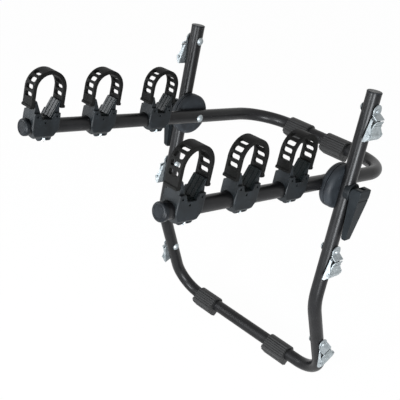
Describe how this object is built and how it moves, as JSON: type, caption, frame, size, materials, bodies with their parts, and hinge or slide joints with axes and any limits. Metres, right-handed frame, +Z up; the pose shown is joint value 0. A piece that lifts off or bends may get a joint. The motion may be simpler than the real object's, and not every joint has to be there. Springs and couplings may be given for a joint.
{
  "type": "bike carrier for the back of a car",
  "caption": "Folding bike carrier for the back of a car: bent tube frame, toothed locking hubs, two arms with strapped cradles, cam buckles and rubber pads.",
  "frame": {"origin": "middle of the lower bar's axis", "axes": "+X across the car, +Y toward the car, +Z up"},
  "size_m": [0.5306, 0.6663, 0.7326],
  "materials": {
    "black_tube": "semi-gloss black powder coat",
    "black_plug": "moulded, satin",
    "pad_rubber": "ribbed matte black",
    "hub_plastic": "dark blue-grey, satin",
    "lever_plastic": "dark blue-grey, satin",
    "cradle_plastic": "dark blue-grey, satin",
    "liner_rubber": "light grey, ribbed",
    "strap_rubber": "near black",
    "washer_rubber": "black",
    "zinc_steel": "zinc plated",
    "buckle_zinc": "zinc plated, pressed",
    "cam_zinc": "zinc plated, cast"
  },
  "bodies": {
    "frame": {"lower_frame": "black_tube", "upright_caps": "black_plug", "lower_pad_left": "pad_rubber", "lower_pad_right": "pad_rubber", "hub_upright_left": "hub_plastic", "hub_upright_right": "hub_plastic", "pivot_bolts": "zinc_steel", "hub_saddle_left": "hub_plastic", "hub_saddle_right": "hub_plastic", "lever_pins": "zinc_steel", "buckle_bolts": "zinc_steel", "buckle_washers": "washer_rubber"},
    "arms": {"arm_frame": "black_tube", "arm_caps": "black_plug", "upper_pad_left": "pad_rubber", "upper_pad_right": "pad_rubber", "hub_arm_left": "hub_plastic", "hub_arm_right": "hub_plastic", "cradle_bolts": "zinc_steel", "cradle_nuts": "zinc_steel", "strap_pins": "zinc_steel", "cradle_left_1": "cradle_plastic", "liner_left_1": "liner_rubber", "cradle_left_2": "cradle_plastic", "liner_left_2": "liner_rubber", "cradle_left_3": "cradle_plastic", "liner_left_3": "liner_rubber", "cradle_right_1": "cradle_plastic", "liner_right_1": "liner_rubber", "cradle_right_2": "cradle_plastic", "liner_right_2": "liner_rubber", "cradle_right_3": "cradle_plastic", "liner_right_3": "liner_rubber"},
    "release_lever_left": {"release_lever_left": "lever_plastic"},
    "strap_left_1": {"strap_left_1": "strap_rubber"},
    "strap_left_2": {"strap_left_2": "strap_rubber"},
    "strap_left_3": {"strap_left_3": "strap_rubber"},
    "buckle_left_top": {"buckle_left_top": "buckle_zinc"},
    "cam_left_top": {"cam_left_top": "cam_zinc"},
    "buckle_left_mid": {"buckle_left_mid": "buckle_zinc"},
    "cam_left_mid": {"cam_left_mid": "cam_zinc"},
    "buckle_left_low": {"buckle_left_low": "buckle_zinc"},
    "cam_left_low": {"cam_left_low": "cam_zinc"},
    "release_lever_right": {"release_lever_right": "lever_plastic"},
    "strap_right_1": {"strap_right_1": "strap_rubber"},
    "strap_right_2": {"strap_right_2": "strap_rubber"},
    "strap_right_3": {"strap_right_3": "strap_rubber"},
    "buckle_right_top": {"buckle_right_top": "buckle_zinc"},
    "cam_right_top": {"cam_right_top": "cam_zinc"},
    "buckle_right_mid": {"buckle_right_mid": "buckle_zinc"},
    "cam_right_mid": {"cam_right_mid": "cam_zinc"},
    "buckle_right_low": {"buckle_right_low": "buckle_zinc"},
    "cam_right_low": {"cam_right_low": "cam_zinc"}
  },
  "joints": [
    {"name": "arm_fold", "type": "hinge", "parent": "frame", "child": "arms", "pos_m": [0, 0.01138, 0.48385], "axis": [1, 0, 0], "range_deg": [-85, 90]},
    {"name": "lever_left_open", "type": "hinge", "parent": "frame", "child": "release_lever_left", "pos_m": [-0.2577, 0.01138, 0.48385], "axis": [0, 0.9662, -0.2576], "range_deg": [0, 90]},
    {"name": "strap_left_1_open", "type": "hinge", "parent": "arms", "child": "strap_left_1", "pos_m": [-0.1836, -0.39135, 0.6489], "axis": [1, 0, 0], "range_deg": [0, 70]},
    {"name": "strap_left_2_open", "type": "hinge", "parent": "arms", "child": "strap_left_2", "pos_m": [-0.1836, -0.26503, 0.61057], "axis": [1, 0, 0], "range_deg": [0, 70]},
    {"name": "strap_left_3_open", "type": "hinge", "parent": "arms", "child": "strap_left_3", "pos_m": [-0.1836, -0.12341, 0.56759], "axis": [1, 0, 0], "range_deg": [0, 70]},
    {"name": "swivel_left_top", "type": "hinge", "parent": "frame", "child": "buckle_left_top", "pos_m": [-0.2412, 0.05209, 0.63651], "axis": [1, 0, 0], "range_deg": [-60, 60]},
    {"name": "cam_left_top_open", "type": "hinge", "parent": "buckle_left_top", "child": "cam_left_top", "pos_m": [-0.2486, 0.04127, 0.59593], "axis": [0, 0.9662, -0.2576], "range_deg": [0, 18], "stiffness_Nm_per_rad": 0.05, "springref_deg": -20.05},
    {"name": "swivel_left_mid", "type": "hinge", "parent": "frame", "child": "buckle_left_mid", "pos_m": [-0.2412, -0.02083, 0.36307], "axis": [1, 0, 0], "range_deg": [-60, 60]},
    {"name": "cam_left_mid_open", "type": "hinge", "parent": "buckle_left_mid", "child": "cam_left_mid", "pos_m": [-0.2486, -0.03165, 0.32248], "axis": [0, 0.9662, -0.2576], "range_deg": [0, 18], "stiffness_Nm_per_rad": 0.05, "springref_deg": -20.05},
    {"name": "swivel_left_low", "type": "hinge", "parent": "frame", "child": "buckle_left_low", "pos_m": [-0.2412, -0.02881, 0.13291], "axis": [1, 0, 0], "range_deg": [-60, 60]},
    {"name": "cam_left_low_open", "type": "hinge", "parent": "buckle_left_low", "child": "cam_left_low", "pos_m": [-0.2486, -0.01991, 0.09187], "axis": [0, 0.9773, 0.2118], "range_deg": [0, 18], "stiffness_Nm_per_rad": 0.05, "springref_deg": -20.05},
    {"name": "lever_right_open", "type": "hinge", "parent": "frame", "child": "release_lever_right", "pos_m": [0.2577, 0.01138, 0.48385], "axis": [0, -0.9662, 0.2576], "range_deg": [0, 90]},
    {"name": "strap_right_1_open", "type": "hinge", "parent": "arms", "child": "strap_right_1", "pos_m": [0.1836, -0.38226, 0.64614], "axis": [1, 0, 0], "range_deg": [0, 70]},
    {"name": "strap_right_2_open", "type": "hinge", "parent": "arms", "child": "strap_right_2", "pos_m": [0.1836, -0.2569, 0.6081], "axis": [1, 0, 0], "range_deg": [0, 70]},
    {"name": "strap_right_3_open", "type": "hinge", "parent": "arms", "child": "strap_right_3", "pos_m": [0.1836, -0.12676, 0.56861], "axis": [1, 0, 0], "range_deg": [0, 70]},
    {"name": "swivel_right_top", "type": "hinge", "parent": "frame", "child": "buckle_right_top", "pos_m": [0.2412, 0.05209, 0.63651], "axis": [1, 0, 0], "range_deg": [-60, 60]},
    {"name": "cam_right_top_open", "type": "hinge", "parent": "buckle_right_top", "child": "cam_right_top", "pos_m": [0.2486, 0.04127, 0.59593], "axis": [0, -0.9662, 0.2576], "range_deg": [0, 18], "stiffness_Nm_per_rad": 0.05, "springref_deg": -20.05},
    {"name": "swivel_right_mid", "type": "hinge", "parent": "frame", "child": "buckle_right_mid", "pos_m": [0.2412, -0.02083, 0.36307], "axis": [1, 0, 0], "range_deg": [-60, 60]},
    {"name": "cam_right_mid_open", "type": "hinge", "parent": "buckle_right_mid", "child": "cam_right_mid", "pos_m": [0.2486, -0.03165, 0.32248], "axis": [0, -0.9662, 0.2576], "range_deg": [0, 18], "stiffness_Nm_per_rad": 0.05, "springref_deg": -20.05},
    {"name": "swivel_right_low", "type": "hinge", "parent": "frame", "child": "buckle_right_low", "pos_m": [0.2412, -0.02701, 0.12461], "axis": [1, 0, 0], "range_deg": [-60, 60]},
    {"name": "cam_right_low_open", "type": "hinge", "parent": "buckle_right_low", "child": "cam_right_low", "pos_m": [0.2486, -0.01811, 0.08356], "axis": [0, -0.9773, -0.2118], "range_deg": [0, 18], "stiffness_Nm_per_rad": 0.05, "springref_deg": -20.05}
  ]
}
